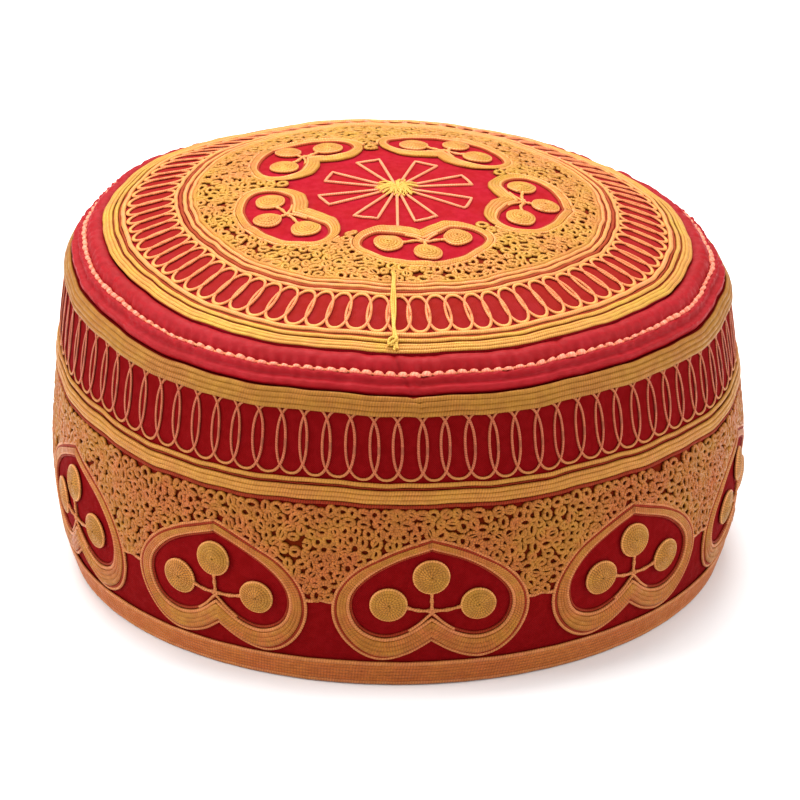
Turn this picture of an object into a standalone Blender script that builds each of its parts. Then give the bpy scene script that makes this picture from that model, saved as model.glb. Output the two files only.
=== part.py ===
"""Embroidered prayer cap: a stiff round cloth cap with a domed crown, a padded seam and a tall side.

Metres, +Z up. The origin is on the ground at the middle of the hem, and the front faces -Y.
The cap is modelled as a true round first, and then settled: widened, leaned and dented a little,
as a hand-sewn cap is. Places on the cloth are given by an azimuth, measured from the front towards
+X, by the distance along the cloth from the hem to the middle of the crown, and by how far they
stand proud of the cloth.
"""
import math

import bmesh
import bpy
import numpy as np
from mathutils import Vector
from mathutils.geometry import interpolate_bezier

MM = 0.001

# Outline of the cloth from the hem to the middle of the crown: name, radius and height in mm
OUTLINE = (
    ("hem", 93.0, 0.0),
    ("low wall", 96.9, 13.0),
    ("belly", 99.6, 33.0),
    ("belt", 98.0, 58.0),
    ("upper wall", 96.0, 76.0),
    ("shoulder", 92.8, 88.7),
    ("seam", 88.2, 93.6),
    ("rim", 82.0, 98.0),
    ("crown ring", 62.0, 105.6),
    ("crown middle", 34.0, 110.3),
    ("centre", 0.0, 112.0),
)
STEPS_ROUND = 56
SMOOTHING = 24
SAME_PLACE = 0.01 * MM

# Cloth and clearances
WALL = 2.4 * MM
GAP = 0.35 * MM
TRIM = 0.8 * MM
TRIM_EDGE = 0.18

# Places along the cloth, in mm from the hem
SIDE_ROWS = (2.0, 11.0, 21.0, 33.0, 46.0, 60.0, 73.0, 84.0, 89.7)
CROWN_ROWS = (102.9, 109.0, 118.0, 128.0, 141.0, 157.0, 173.0)
SHOULDER_BAND = (84.2, 89.6)
BELT_BAND = (58.6, 62.4)
RIM_BAND = (102.9, 107.6)

# Padded seam, outer side from top to bottom and back up inside: name, mm along, mm proud
WELT_SECTION = (
    ("upper edge", 102.4, 0.2),
    ("upper roll end", 101.0, 1.3),
    ("upper roll", 98.6, 1.5),
    ("stitched groove", 96.2, 0.6),
    ("lower roll", 93.8, 1.6),
    ("lower roll end", 91.4, 1.4),
    ("lower edge", 90.1, 0.2),
    ("inside low", 90.1, -2.4),
    ("inside middle", 96.2, -2.7),
    ("inside high", 102.4, -2.4),
)

# Folded hem strip, round the wall's bottom edge: name, mm out from the wall's face, mm high
HEM_SECTION = (
    ("outer top", 1.1, 8.2),
    ("outer side", 1.35, 4.4),
    ("outer turn", 0.9, 0.7),
    ("outer foot", 0.2, 0.0),
    ("inner foot", -3.1, 0.0),
    ("inner turn", -3.8, 0.8),
    ("inner top", -3.8, 7.4),
    ("slot inside top", -3.05, 7.4),
    ("slot inside floor", -3.05, 1.6),
    ("slot outside floor", 0.35, 1.6),
    ("slot outside top", 0.35, 8.2),
)

# Half outlines of a heart on the side, from the tip to the cleft: name, mm across, mm up
SIDE_HEART_OUTER = (
    ("tip", 0.0, 24.5),
    ("below tip", 6.0, 22.4),
    ("shoulder", 13.0, 19.4),
    ("corner", 21.0, 14.4),
    ("upper side", 26.4, 7.2),
    ("side", 27.4, -0.5),
    ("lower side", 24.6, -8.0),
    ("lobe", 19.4, -13.0),
    ("bottom", 13.4, -14.6),
    ("inner lobe", 6.4, -12.4),
    ("cleft", 0.0, -8.2),
)
SIDE_HEART_INNER = (
    ("tip", 0.0, 21.0),
    ("shoulder", 9.2, 17.6),
    ("corner", 16.4, 13.4),
    ("upper side", 21.6, 7.6),
    ("side", 22.6, 1.6),
    ("lower side", 19.8, -4.4),
    ("bottom", 13.4, -7.0),
    ("inner lobe", 6.6, -5.2),
    ("cleft", 1.1, -0.6),
)
# Round leaves of the trefoil: name, mm across, mm up, mm radius
SIDE_LEAVES = (
    ("right leaf", 12.4, 3.7, 5.4),
    ("top leaf", 0.0, 12.6, 5.4),
    ("left leaf", -12.4, 3.7, 5.4),
)
SIDE_JOINT = (0.0, 2.0)
SIDE_HEARTS = 10
SIDE_HEART_AZIMUTH = 5.6
SIDE_HEART_CLEFT = 24.4

# The same for a heart on the crown, whose tip points outwards and whose cleft is 29.6 mm from the
# middle of the crown
CROWN_HEART_OUTER = (
    ("tip", 0.0, 20.2),
    ("below tip", 8.0, 18.0),
    ("shoulder", 15.4, 13.4),
    ("side", 20.0, 6.4),
    ("lower side", 18.0, -0.4),
    ("bottom", 10.6, -4.2),
    ("inner lobe", 4.6, -2.9),
    ("cleft", 0.0, 0.0),
)
CROWN_HEART_INNER = (
    ("tip", 0.0, 17.3),
    ("below tip", 7.4, 15.3),
    ("shoulder", 13.8, 11.5),
    ("side", 17.2, 6.4),
    ("lower side", 15.2, 1.8),
    ("bottom", 10.4, 0.4),
    ("inner lobe", 4.8, 2.2),
    ("cleft", 0.9, 5.2),
)
CROWN_LEAVES = (
    ("right leaf", 9.9, 6.0, 3.8),
    ("top leaf", 0.0, 12.4, 3.8),
    ("left leaf", -9.9, 6.0, 3.8),
)
CROWN_JOINT = (0.0, 6.6)
CROWN_HEARTS = 5
CROWN_HEART_AZIMUTH = 12.4
CROWN_HEART_CLEFT = 29.6
LEAF_POINTS = 8
STEM = 0.7
STEM_NOTCH = 0.9

# How the sewn cap sits: wider than deep, higher on the left and at the back
WIDE = 1.006
DEEP = 0.985
LIFT_LEFT = 3.6 * MM
LIFT_BACK = 0.75 * MM
LIFT_TWIST = 1.0 * MM
RECENTRE_RIGHT = -0.3 * MM
RECENTRE_BACK = -0.37 * MM
SHOULDER_HEIGHT = 90.0 * MM
RIM_RADIUS = 84.0 * MM
FLAT_FOOT = 20.0 * MM
SHARP_ANGLE = 40.0

# Dents, and bulges where the depth is negative: name, azimuth, mm along, mm deep, mm reach
DENTS = (
    ("pressed crown edge, back left", -148.0, 106.0, 1.9, 24.0),
    ("flat of the front", 4.0, 40.0, 0.8, 45.0),
    ("pushed-in side, left", -84.0, 52.0, 1.0, 30.0),
    ("seam step, right", 86.0, 91.0, -1.1, 12.0),
    ("seam pucker, front", 1.0, 96.0, 0.7, 9.0),
    ("soft crown, right of the star", 60.0, 140.0, 0.9, 26.0),
)

# Name: colour, roughness, metallic
FINISHES = {
    "red_cloth": ((0.30, 0.008, 0.018, 1.0), 0.85, 0.0),
    "seam_cloth": ((0.42, 0.012, 0.03, 1.0), 0.7, 0.0),
    "gold_thread": ((0.55, 0.29, 0.07, 1.0), 0.45, 0.35),
}


def clear_scene():
    for item in list(bpy.data.objects):
        bpy.data.objects.remove(item, do_unlink=True)


def make_collection(name):
    collection = bpy.data.collections.new(name)
    bpy.context.scene.collection.children.link(collection)
    return collection


def make_finish(name):
    colour, roughness, metallic = FINISHES[name]
    material = bpy.data.materials.new(name)
    material.use_nodes = True
    material.diffuse_color = colour
    shader = material.node_tree.nodes["Principled BSDF"]
    shader.inputs["Base Color"].default_value = colour
    shader.inputs["Roughness"].default_value = roughness
    shader.inputs["Metallic"].default_value = metallic
    return material


def smooth_line(points, steps):
    """A line through the points that passes each one in the direction of its neighbours."""
    points = [Vector((*point, 0.0)) for point in points]
    last = len(points) - 1
    line = []
    for index in range(last):
        start, end = points[index], points[index + 1]
        reach = (end - start).length / 3
        leave = (end - points[max(index - 1, 0)]).normalized()
        arrive = (points[min(index + 2, last)] - start).normalized()
        line += interpolate_bezier(start, start + leave * reach, end - arrive * reach, end, steps)[:-1]
    line.append(points[last])
    return np.array([(point.x, point.y) for point in line])


CLOTH = smooth_line([(radius * MM, height * MM) for _, radius, height in OUTLINE], SMOOTHING)
DISTANCE = np.concatenate(([0.0], np.cumsum(np.hypot(*np.diff(CLOTH, axis=0).T))))


def cloth_section(along, proud):
    """Radius and height of a place on the cloth's section."""
    radius, height = (np.interp(along, DISTANCE, CLOTH[:, axis]) for axis in (0, 1))
    near = np.clip([along - MM, along + MM], 0.0, DISTANCE[-1])
    run = np.diff(np.interp(near, DISTANCE, CLOTH[:, 0]))[0]
    rise = np.diff(np.interp(near, DISTANCE, CLOTH[:, 1]))[0]
    slope = math.hypot(run, rise)
    return radius + proud * rise / slope, height - proud * run / slope


def on_cloth(azimuth, along, proud):
    radius, height = cloth_section(along, proud)
    return Vector((radius * math.sin(azimuth), -radius * math.cos(azimuth), height))


def ease(amount):
    amount = min(max(amount, 0.0), 1.0)
    return amount * amount * (3.0 - 2.0 * amount)


def settle(point):
    """Moves a place on the true round to where the sewn cap has it."""
    azimuth = math.atan2(point.x, -point.y)
    radius = math.hypot(point.x, point.y)
    weight = ease(point.z / SHOULDER_HEIGHT) * min(radius / RIM_RADIUS, 1.0) ** 1.5
    lift = LIFT_BACK * (1.0 - math.cos(azimuth)) + LIFT_TWIST * math.sin(2.0 * azimuth)
    lift -= LIFT_LEFT * math.sin(azimuth)
    moved = Vector((point.x * WIDE + RECENTRE_RIGHT, point.y * DEEP + RECENTRE_BACK, point.z))
    moved.z += weight * lift
    for _, turn, along, depth, reach in DENTS:
        middle = on_cloth(math.radians(turn), along * MM, 0.0)
        outwards = on_cloth(math.radians(turn), along * MM, MM) - middle
        nearness = math.exp(-((point - middle).length / (reach * MM)) ** 2)
        grip = ease(point.z / FLAT_FOOT)
        moved -= outwards.normalized() * depth * MM * nearness * grip
    return moved


def finish_solid(name, mesh, finish, collection):
    """Settles a closed mesh and gives it its name, its finish and its place in the collection."""
    shape = bmesh.new()
    shape.from_mesh(mesh)
    bmesh.ops.remove_doubles(shape, verts=shape.verts, dist=SAME_PLACE)
    for vertex in shape.verts:
        vertex.co = settle(vertex.co)
    bmesh.ops.recalc_face_normals(shape, faces=shape.faces)
    shape.to_mesh(mesh)
    shape.free()
    mesh.name = name
    mesh.materials.clear()
    mesh.materials.append(finish)
    mesh.shade_smooth()
    mesh.set_sharp_from_angle(angle=math.radians(SHARP_ANGLE))
    item = bpy.data.objects.new(name, mesh)
    collection.objects.link(item)
    return item


def evaluated_mesh(item):
    """The object's mesh with its modifiers applied; the object itself goes."""
    view = bpy.context.evaluated_depsgraph_get()
    mesh = bpy.data.meshes.new_from_object(item.evaluated_get(view))
    bpy.data.objects.remove(item, do_unlink=True)
    return mesh


def turned(name, section, closed, finish, collection):
    """Turns a section, listed from top to bottom on its outer side; an open one becomes a wall."""
    mesh = bpy.data.meshes.new(name)
    edges = [(index, index + 1) for index in range(len(section) - 1)]
    if closed:
        edges.append((len(section) - 1, 0))
    mesh.from_pydata([(radius, 0.0, height) for radius, height in section], edges, [])
    guide = bpy.data.objects.new(name + "_section", mesh)
    bpy.context.scene.collection.objects.link(guide)
    screw = guide.modifiers.new("turn", "SCREW")
    screw.steps = STEPS_ROUND
    screw.render_steps = STEPS_ROUND
    screw.use_merge_vertices = True
    screw.merge_threshold = SAME_PLACE
    if not closed:
        wall = guide.modifiers.new("wall", "SOLIDIFY")
        wall.thickness = WALL
        wall.offset = -1.0
        wall.use_even_offset = True
    return finish_solid(name, evaluated_mesh(guide), finish, collection)


def cloth_wall(name, rows, finish, collection):
    section = [cloth_section(along * MM, 0.0) for along in reversed(rows)]
    return turned(name, section, False, finish, collection)


def braid(name, band, finish, collection):
    """A raised band that lies on the cloth, thinner at its two edges."""
    low, high = (place * MM for place in band)
    edge = (high - low) * TRIM_EDGE
    places = (
        (high, GAP),
        (high - edge, GAP + TRIM),
        (low + edge, GAP + TRIM),
        (low, GAP),
    )
    section = [cloth_section(along, proud) for along, proud in places]
    return turned(name, section, True, finish, collection)


def welt(finish, collection):
    section = [cloth_section(along * MM, proud * MM) for _, along, proud in WELT_SECTION]
    return turned("crown_welt", section, True, finish, collection)


def hem(finish, collection):
    section = []
    for _, out, height in HEM_SECTION:
        wall_radius = np.interp(height * MM, CLOTH[:SMOOTHING * 2, 1], CLOTH[:SMOOTHING * 2, 0])
        section.append((wall_radius + out * MM, height * MM))
    return turned("hem_binding", section, True, finish, collection)


def heart_outline(half):
    """A whole heart from its right half, clockwise from the tip."""
    right = [(across, up) for _, across, up in half]
    left = [(-across, up) for across, up in reversed(right) if across > 0.0]
    return right + left


def leaf_outline(leaf, joint):
    """A round leaf's edge, anticlockwise from one side of its stem to the other."""
    _, across, up, radius = leaf
    facing = math.atan2(up - joint[1], across - joint[0])
    opening = math.asin(STEM / radius)
    start = facing + math.pi + opening
    sweep = 2.0 * math.pi - 2.0 * opening
    points = []
    for index in range(LEAF_POINTS):
        angle = start + sweep * index / (LEAF_POINTS - 1)
        points.append((across + radius * math.cos(angle), up + radius * math.sin(angle)))
    return points


def heart_opening(half, leaves, joint):
    """The opening inside a heart's border: it goes round the three leaves, which hold the cleft."""
    border = [(across, up) for _, across, up in half]
    right_leaf, top_leaf, left_leaf = (leaf_outline(leaf, joint) for leaf in leaves)
    points = border + right_leaf + [(joint[0] + STEM_NOTCH, joint[1] + STEM_NOTCH)]
    points += top_leaf + [(joint[0] - STEM_NOTCH, joint[1] + STEM_NOTCH)] + left_leaf
    points += [(-across, up) for across, up in reversed(border[1:])]
    return points


def flat_heart(name, outer, inner, leaves, joint):
    """A heart border with its trefoil, cut flat from a sheet as thick as the trim, in mm."""
    shape = bmesh.new()
    for outline in (heart_outline(outer), heart_opening(inner, leaves, joint)):
        corners = [shape.verts.new((across, up, -TRIM / MM / 2)) for across, up in outline]
        for index, corner in enumerate(corners):
            shape.edges.new((corners[index - 1], corner))
    bmesh.ops.triangle_fill(shape, edges=shape.edges, use_beauty=True, normal=(0.0, 0.0, 1.0))
    bmesh.ops.beautify_fill(shape, faces=shape.faces, edges=shape.edges)
    cap = bmesh.ops.extrude_face_region(shape, geom=shape.faces[:])
    raised = [part for part in cap["geom"] if isinstance(part, bmesh.types.BMVert)]
    bmesh.ops.translate(shape, verts=raised, vec=(0.0, 0.0, TRIM / MM))
    mesh = bpy.data.meshes.new(name)
    shape.to_mesh(mesh)
    shape.free()
    return mesh


def side_heart(number, finish, collection):
    name = f"side_heart_{number + 1:02d}"
    mesh = flat_heart(name, SIDE_HEART_OUTER, SIDE_HEART_INNER, SIDE_LEAVES, SIDE_JOINT)
    turn = math.radians(SIDE_HEART_AZIMUTH + number * 360.0 / SIDE_HEARTS)
    middle_radius = cloth_section(SIDE_HEART_CLEFT * MM, 0.0)[0]
    for vertex in mesh.vertices:
        across, up, proud = vertex.co * MM
        azimuth = turn + across / middle_radius
        vertex.co = on_cloth(azimuth, SIDE_HEART_CLEFT * MM + up, GAP + TRIM / 2 + proud)
    return finish_solid(name, mesh, finish, collection)


def crown_heart(number, finish, collection):
    name = f"crown_heart_{number + 1}"
    mesh = flat_heart(name, CROWN_HEART_OUTER, CROWN_HEART_INNER, CROWN_LEAVES, CROWN_JOINT)
    turn = math.radians(CROWN_HEART_AZIMUTH + number * 360.0 / CROWN_HEARTS)
    for vertex in mesh.vertices:
        across, up, proud = vertex.co * MM
        outwards = CROWN_HEART_CLEFT * MM + up
        azimuth = turn + math.atan2(across, outwards)
        from_middle = math.hypot(across, outwards)
        top = CLOTH[:, 1] > SHOULDER_HEIGHT
        along = np.interp(-from_middle, -CLOTH[top, 0], DISTANCE[top])
        vertex.co = on_cloth(azimuth, along, GAP + TRIM / 2 + proud)
    return finish_solid(name, mesh, finish, collection)


def main():
    clear_scene()
    cap = make_collection("prayer_cap")
    red, seam, gold = (make_finish(name) for name in ("red_cloth", "seam_cloth", "gold_thread"))
    cloth_wall("side_band", SIDE_ROWS, red, cap)
    cloth_wall("crown", CROWN_ROWS + (DISTANCE[-1] / MM,), red, cap)
    welt(seam, cap)
    hem(gold, cap)
    braid("rim_braid", RIM_BAND, gold, cap)
    braid("shoulder_braid", SHOULDER_BAND, gold, cap)
    braid("belt_braid", BELT_BAND, gold, cap)
    for number in range(SIDE_HEARTS):
        side_heart(number, gold, cap)
    for number in range(CROWN_HEARTS):
        crown_heart(number, gold, cap)


main()
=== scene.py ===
"""Looks of the embroidered prayer cap: cloth walls, padded seam and every line of raised thread.

Metres, +Z up, front towards -Y. The pattern is drawn flat first, in mm, and then laid on the cap.
Places on the cloth are an azimuth from the front towards +X, the distance along the cloth from the
hem to the middle of the crown, and the height over the cloth.
"""
import math
import random

import bmesh
import bpy
import numpy as np
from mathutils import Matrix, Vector
from mathutils.geometry import interpolate_bezier


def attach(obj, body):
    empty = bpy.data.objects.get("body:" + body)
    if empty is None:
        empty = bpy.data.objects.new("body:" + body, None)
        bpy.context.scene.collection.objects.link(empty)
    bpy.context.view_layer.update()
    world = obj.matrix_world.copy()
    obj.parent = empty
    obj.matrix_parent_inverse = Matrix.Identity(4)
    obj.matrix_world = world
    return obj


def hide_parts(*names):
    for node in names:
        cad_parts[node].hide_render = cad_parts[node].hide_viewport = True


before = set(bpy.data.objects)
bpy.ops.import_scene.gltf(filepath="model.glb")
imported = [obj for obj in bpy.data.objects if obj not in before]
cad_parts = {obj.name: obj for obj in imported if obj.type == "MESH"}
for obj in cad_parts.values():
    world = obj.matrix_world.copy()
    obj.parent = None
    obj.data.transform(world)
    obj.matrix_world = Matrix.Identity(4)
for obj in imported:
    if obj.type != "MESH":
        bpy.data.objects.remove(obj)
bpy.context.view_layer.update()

MM = 0.001
TURN = 2.0 * math.pi
# Seeds of all that is drawn at random
SEEDS = {"creases": 5, "star": 8, "stitches": 3, "loops": 11, "side": 17, "crown": 29}

# Outline of the cloth from the hem to the middle of the crown: name, radius and height in mm
OUTLINE = (
    ("hem", 93.0, 0.0),
    ("low wall", 96.9, 13.0),
    ("belly", 99.6, 33.0),
    ("belt", 98.0, 58.0),
    ("upper wall", 96.0, 76.0),
    ("shoulder", 92.8, 88.7),
    ("seam", 88.2, 93.6),
    ("rim", 82.0, 98.0),
    ("crown ring", 62.0, 105.6),
    ("crown middle", 34.0, 110.3),
    ("centre", 0.0, 112.0),
)
SMOOTHING = 24
BELLY_RADIUS = 98.0 * MM
SHOULDER_HEIGHT = 90.0 * MM

# Cloth walls: thickness, edges in mm along the cloth, and faces round, up and down the inside
WALL = 2.4 * MM
SIDE_LOW = 2.2
SIDE_HIGH = 89.8
CROWN_LOW = 102.8
POLE_GAP = 0.002
SIDE_COLUMNS = 420
SIDE_ROWS = 84
CROWN_COLUMNS = 300
CROWN_ROWS = 64
INSIDE_ROWS = 20
WELD = 0.01 * MM

# How the sewn cap sits: wider than deep, higher on the left and at the back
WIDE = 1.006
DEEP = 0.985
LIFT_LEFT = 3.6 * MM
LIFT_BACK = 0.75 * MM
LIFT_TWIST = 1.0 * MM
RECENTRE = (-0.3 * MM, -0.37 * MM)
RIM_RADIUS = 84.0 * MM
FLAT_FOOT = 20.0 * MM

# Dents, and bulges where the depth is negative: name, azimuth, mm along, mm deep, mm reach
DENTS = (
    ("pressed crown edge, back left", -148.0, 106.0, 1.9, 24.0),
    ("flat of the front", 4.0, 40.0, 0.8, 45.0),
    ("pushed-in side, left", -84.0, 52.0, 1.0, 30.0),
    ("seam step, right", 86.0, 91.0, -1.1, 12.0),
    ("seam pucker, front", 1.0, 96.0, 0.7, 9.0),
    ("soft crown, right of the star", 60.0, 140.0, 0.9, 26.0),
)

# Hand-made unevenness: name, waves round, phase in degrees, mm along the cloth, mm in and out
UNEVEN = (
    ("slow", 3, 40.0, 0.45, 0.10),
    ("middle", 7, 165.0, 0.35, 0.16),
    ("quick", 16, 300.0, 0.16, 0.12),
    ("pulled", 37, 75.0, 0.08, 0.06),
)
# Mm along the cloth in which it sets in over the hem, fades towards the crown's middle, and repeats
FREE_OVER_HEM = 14.0 * MM
FREE_FROM_MIDDLE = 40.0 * MM
UNEVEN_WAVE = 23.0 * MM

# Bands of couched rows: name, node, mm along from and to, rows, mm over the cloth, finish
BANDS = (
    ("belt_rows", "belt_braid", 58.8, 62.6, 3, 0.75, "gold_band"),
    # The shoulder rows take the band's gold painted darker: painted shade
    ("shoulder_rows", "shoulder_braid", 84.2, 89.7, 4, 0.8, "shoulder_gold_painted_shade"),
    ("rim_rows", "rim_braid", 102.7, 105.6, 3, 0.75, "gold_rim"),
)
# The rim band's last row stands apart: mm along, mm over the cloth, mm girth
RIM_LAST_ROW = (106.85, 0.6, 1.35)
ROW_OVERLAP = 1.22
BAND_POINTS = 330
LINE_POINTS = 300

# Hem: rows, mm along of the lowest and highest, and mm over the cloth and girth of each
HEM_ROWS = 7
HEM_LOW = 1.2
HEM_HIGH = 8.2
HEM_OVER = 0.7
HEM_GIRTH = 1.4
HEM_COLUMNS = 240
# Folded strip: name, mm along, mm proud, from the slot for the wall round inside to the outer top
HEM_SECTION = (
    ("slot top, outside", 8.3, 0.3),
    ("slot floor, outside", 1.8, 0.3),
    ("slot floor, inside", 1.8, -3.05),
    ("slot top, inside", 7.4, -3.05),
    ("inner top", 7.2, -3.7),
    ("inner side", 4.0, -3.8),
    ("inner turn", 0.8, -3.7),
    ("inner foot", 0.1, -3.0),
    ("outer foot", 0.1, -1.2),
    ("outer turn", 0.45, -0.3),
    ("low outside", 1.1, 0.3),
    ("outer low side", 1.9, 0.6),
    ("outer side", 5.0, 0.8),
    ("outer top", 8.4, 0.75),
    ("outer edge", 8.6, 0.35),
)

# Single couched lines: name, mm along, mm girth, finish
LINES = (
    ("under belt", 57.95, 1.2, "dark_thread"),
    ("belt gap", 63.1, 0.6, "dark_thread"),
    ("over belt", 64.2, 1.35, "gold_band"),
    ("rim groove", 105.85, 0.55, "brown_thread"),
    ("outer crown gap", 107.9, 0.75, "brown_thread"),
    ("loop feet", 109.1, 1.5, "edge_crown"),
    ("loop heads", 125.1, 1.2, "edge_crown"),
    ("inner crown gap", 126.4, 1.0, "brown_thread"),
    ("inner crown line", 127.65, 1.3, "edge_crown"),
    ("inner crown groove", 128.6, 0.6, "brown_thread"),
    ("second inner line", 129.5, 1.25, "edge_crown"),
    ("field edge", 130.7, 1.3, "gold_crown"),
)

# Half outlines of a heart on the side, from the tip to the cleft: name, mm across, mm up
SIDE_HEART_OUTER = (
    ("tip", 0.0, 24.5),
    ("below tip", 6.0, 22.4),
    ("shoulder", 13.0, 19.4),
    ("corner", 21.0, 14.4),
    ("upper side", 26.4, 7.2),
    ("side", 27.4, -0.5),
    ("lower side", 24.6, -8.0),
    ("lobe", 19.4, -13.0),
    ("bottom", 13.4, -14.6),
    ("inner lobe", 6.4, -12.4),
    ("cleft", 0.0, -8.2),
)
SIDE_HEART_INNER = (
    ("tip", 0.0, 21.0),
    ("shoulder", 9.2, 17.6),
    ("corner", 16.4, 13.4),
    ("upper side", 21.6, 7.6),
    ("side", 22.6, 1.6),
    ("lower side", 19.8, -4.4),
    ("bottom", 13.4, -7.0),
    ("inner lobe", 6.6, -5.2),
    ("cleft", 0.0, 0.0),
)
# Round leaves: name, mm across, mm up, mm radius
SIDE_LEAVES = (
    ("right leaf", 12.9, 3.4, 5.1),
    ("top leaf", -0.2, 12.6, 5.2),
    ("left leaf", -11.9, 4.0, 5.3),
)

# The same for a heart on the crown, whose tip points outwards
CROWN_HEART_OUTER = (
    ("tip", 0.0, 20.2),
    ("below tip", 8.0, 18.0),
    ("shoulder", 15.4, 13.4),
    ("side", 20.0, 6.4),
    ("lower side", 18.0, -0.4),
    ("bottom", 10.6, -4.2),
    ("inner lobe", 4.6, -2.9),
    ("cleft", 0.0, 0.0),
)
CROWN_HEART_INNER = (
    ("tip", 0.0, 18.0),
    ("below tip", 7.8, 16.0),
    ("shoulder", 14.6, 12.0),
    ("side", 18.4, 6.4),
    ("lower side", 16.2, 1.2),
    ("bottom", 10.4, -0.6),
    ("inner lobe", 4.8, 1.6),
    ("cleft", 0.0, 5.0),
)
CROWN_LEAVES = (
    ("right leaf", 10.3, 6.0, 4.3),
    ("top leaf", 0.3, 12.6, 4.1),
    ("left leaf", -10.0, 5.4, 4.3),
)

# Hearts of each kind. Azimuth is the first heart's, and cleft the mm to it along the cloth, or on the
# crown from the middle. Insets are the mm inwards to a thin line, to a dark one and to the border.
# The dark line at the second inset is a line of painted shade
HEARTS = {
    "side": {
        "count": 10, "azimuth": 5.6, "cleft": 24.4, "joint": (0.0, 2.0), "insets": (0.3, 1.0, 1.55),
        "outer": SIDE_HEART_OUTER, "inner": SIDE_HEART_INNER, "leaves": SIDE_LEAVES,
        "points": 62, "over": 0.65,
        "border": "gold_side", "edge": "edge_side", "leaf": "leaf_gold", "rim": "leaf_rim",
    },
    "crown": {
        "count": 5, "azimuth": 12.4, "cleft": 29.6, "joint": (0.0, 6.6), "insets": (0.0, 0.0, 0.0),
        "outer": CROWN_HEART_OUTER, "inner": CROWN_HEART_INNER, "leaves": CROWN_LEAVES,
        "points": 44, "over": 0.5,
        "border": "gold_crown", "edge": "edge_crown", "leaf": "gold_crown", "rim": "edge_crown",
    },
}
# Rows of thread in a heart's border: name, share of the way inwards, share of the border's width
HEART_ROWS = (
    ("first row", 0.13, 0.26),
    ("second row", 0.37, 0.26),
    ("third row", 0.61, 0.26),
)
HEART_INNER_ROW = (("inner row", 0.87, 0.24),)
THICKEST_ROW = 2.1
THICKEST_INNER_ROW = 1.15
THINNEST_ROW = 0.7
LEAF_THREAD = 1.2
LEAF_RIM = 0.95
STEM_THREAD = 1.0
CROSSED_THREAD = 0.85
# Dark lines of painted shade along the hearts' outlines, mm out from the outline and mm girth: inner ones
# of the side and the crown
SIDE_SHADOW_LINE_GIRTH = 1.3
SIDE_INNER_SHADOW_LINE = (-0.35, 0.8)
CROWN_INNER_SHADOW_LINE = (-0.35, 0.75)

# Rings of chain loops: name, count, mm along from and to, mm wide, mm thread, first azimuth,
# ovalness, finish
LOOP_RINGS = (
    ("side_loops", 92, 65.6, 84.9, 9.1, 0.86, 2.2, 0.86, "side_loop"),
    ("crown_loops", 80, 110.3, 124.5, 6.4, 1.28, 0.4, 0.9, "crown_loop"),
)
LOOP_POINTS = 36
LOOP_LEAN = 0.03
LOOP_VARIATION = 0.06
LOOP_LAYER = 0.15 * MM
LOOP_RISE = 0.55
# Painted shade on the ground between the crown's loops: mm along from and to, and the share of shade
LOOP_SHADE = (110.6, 124.4, 0.45)

# Filling of small curls: mm from curl to curl, mm radius, mm girth, and the thread's height over its width
CURLS = {"side": (2.8, 1.3, 1.42, 0.65), "crown": (3.0, 1.32, 1.32, 0.55)}
CURL_POINTS = 11
# How curls vary, from least to most: start in radians, mm of height, and the rest as shares
CURL_VARIATION = {
    "start": (-0.5, 0.5),
    "radius": (0.78, 1.14),
    "ovalness": (0.78, 1.26),
    "turns": (0.86, 1.1),
    "height": (-0.05, 0.05),
}
# Mm over the cloth where a curl starts, and that it climbs
CURL_LOW = 0.42
CURL_CLIMB = 0.24
LONGEST_RUN = 5.6
SIDE_TRIES = 40000
CROWN_TRIES = 60000
SETTLING_ROUNDS = 14
CLOSEST_START = 0.9
CLOSEST_LATER = 0.84
# Fields of the filling: mm gap to the hearts, and mm along the cloth, or on the crown from the middle
FIELD_GAPS = {"side": -0.1, "crown": 0.6}
SIDE_FIELD = (28.5, 56.9)
CROWN_FIELD = (31.6, 57.4)
EDGE_OVER = 0.45
FIELD_EDGE_THREAD = 0.95
BRIDGE_THREAD = 1.1
HEARTS_ACROSS = 53.6

# Thread star in the middle of the crown
STAR_RADIUS = 22.6
STAR_PETALS = 8
STAR_PETAL_HALF = 9.0
STAR_FIRST = 22.5
STAR_THREAD = 0.88
STAR_OVER = 0.35
HUB_THREADS = 70
HUB_RADIUS = 5.0

# Padded seam: name, mm along, mm proud, from the top edge round the outside and back inside
WELT_SECTION = (
    ("upper edge", 102.3, -0.2),
    ("upper turn", 101.3, 1.2),
    ("upper roll", 99.5, 1.95),
    ("upper slope", 97.6, 1.3),
    ("stitched groove", 96.2, 0.35),
    ("middle ridge", 94.7, 1.65),
    ("lower groove", 93.2, 0.35),
    ("lower ridge", 91.8, 1.35),
    ("lower edge", 90.3, -0.2),
    ("inside low", 90.4, -2.4),
    ("inside middle", 96.2, -2.7),
    ("inside high", 102.2, -2.4),
)
WELT_SMOOTHING = 4
WELT_COLUMNS = 900
WELT_GROOVE = 96.2
WELT_CREASES = 150
# Small creases across the seam: name, lowest and highest; width is in radians and depth in mm
CREASE_RANGES = (
    ("azimuth", 0.0, TURN),
    ("slant", -1.6, 1.6),
    ("width", 0.009, 0.024),
    ("depth", 0.12, 0.42),
)
SEAM_STITCHES = 170
SEAM_LINE = 96.0
# Azimuth of the slanting front crease at the seam's line, its change for each mm up, and the mm that
# threads dip there
FRONT_CREASE = (1.1, -0.28)
FRONT_DIP = 0.6

# Stray threads down the front, mm across and mm along, from the field over the loops to the rim band
STRAYS = (
    ((-2.2, 134.5), (-2.0, 129.0), (-2.3, 122.0), (-1.8, 117.0),
     (-1.3, 111.0), (-1.1, 107.5), (-2.0, 104.6)),
    ((-1.4, 134.8), (-1.5, 129.0), (-1.5, 122.5), (-1.3, 116.0),
     (-1.0, 111.5), (-0.4, 107.0), (0.2, 103.4)),
    ((-0.8, 133.4), (-1.0, 128.6), (-0.6, 122.0), (-0.6, 117.0),
     (-0.9, 111.5), (-0.1, 107.0), (-0.9, 102.9)),
)
STRAY_THREAD = 0.95
KNOT_THREAD = 0.85
KNOT_TURNS = 3.2
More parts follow.
